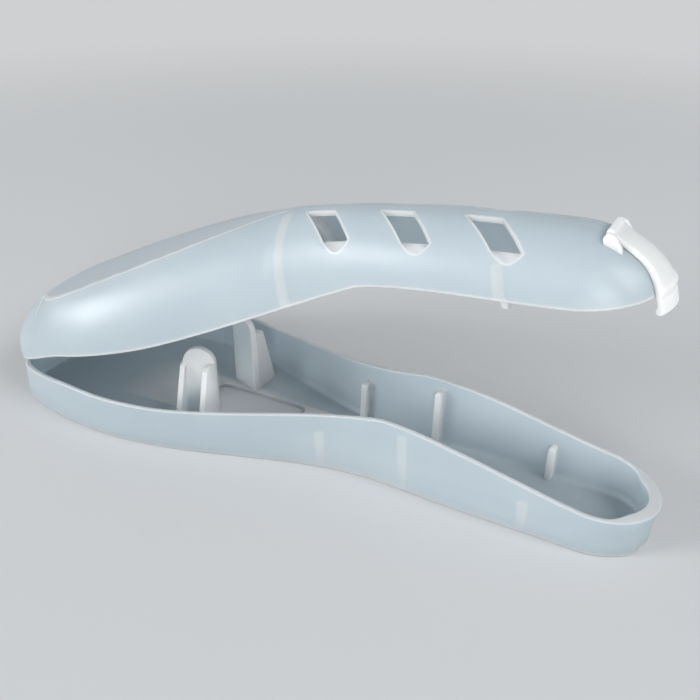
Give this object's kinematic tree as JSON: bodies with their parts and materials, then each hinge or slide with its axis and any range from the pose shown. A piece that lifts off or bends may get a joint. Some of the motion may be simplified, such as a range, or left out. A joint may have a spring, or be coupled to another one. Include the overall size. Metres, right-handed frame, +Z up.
{
  "type": "razor case",
  "caption": "Travel case for a razor: a frosted spoon-shaped tray and a domed vented lid on a film hinge at the nose, with cradle posts over a drain slot, handle ribs and a tail clip.",
  "frame": {"origin": "centre of the flat base on the case's centre line, half the closed length from the nose", "axes": "+X from the hinged nose to the latched tail, +Y across the case, +Z up from the base"},
  "size_m": [0.1953, 0.0644, 0.0796],
  "materials": {
    "frosted_shell": "translucent, frosted satin",
    "milky_plastic": "milky white, satin"
  },
  "bodies": {
    "tray": {"tray_shell": "frosted_shell", "hinge_film": "milky_plastic", "cradle_post_near": "milky_plastic", "cradle_post_far": "milky_plastic", "tray_rib_front_near": "frosted_shell", "tray_rib_front_far": "frosted_shell", "tray_rib_middle_near": "frosted_shell", "tray_rib_middle_far": "frosted_shell", "tray_rib_rear_near": "frosted_shell", "tray_rib_rear_far": "frosted_shell"},
    "lid": {"lid_shell": "frosted_shell", "lid_rib_front_near": "frosted_shell", "lid_rib_front_far": "frosted_shell", "lid_rib_rear_near": "frosted_shell", "lid_rib_rear_far": "frosted_shell", "latch_ear_near": "milky_plastic", "latch_ear_far": "milky_plastic"},
    "latch": {"latch_clip": "milky_plastic"}
  },
  "joints": [
    {"name": "lid_hinge", "type": "hinge", "parent": "tray", "child": "lid", "pos_m": [-0.0973, 0, 0.01075], "axis": [0, -1, 0], "range_deg": [-16.75, 120]},
    {"name": "latch_hinge", "type": "hinge", "parent": "lid", "child": "latch", "pos_m": [0.07507, 0, 0.07871], "axis": [0, -1, 0], "range_deg": [0, 22], "stiffness_Nm_per_rad": 0.01}
  ]
}
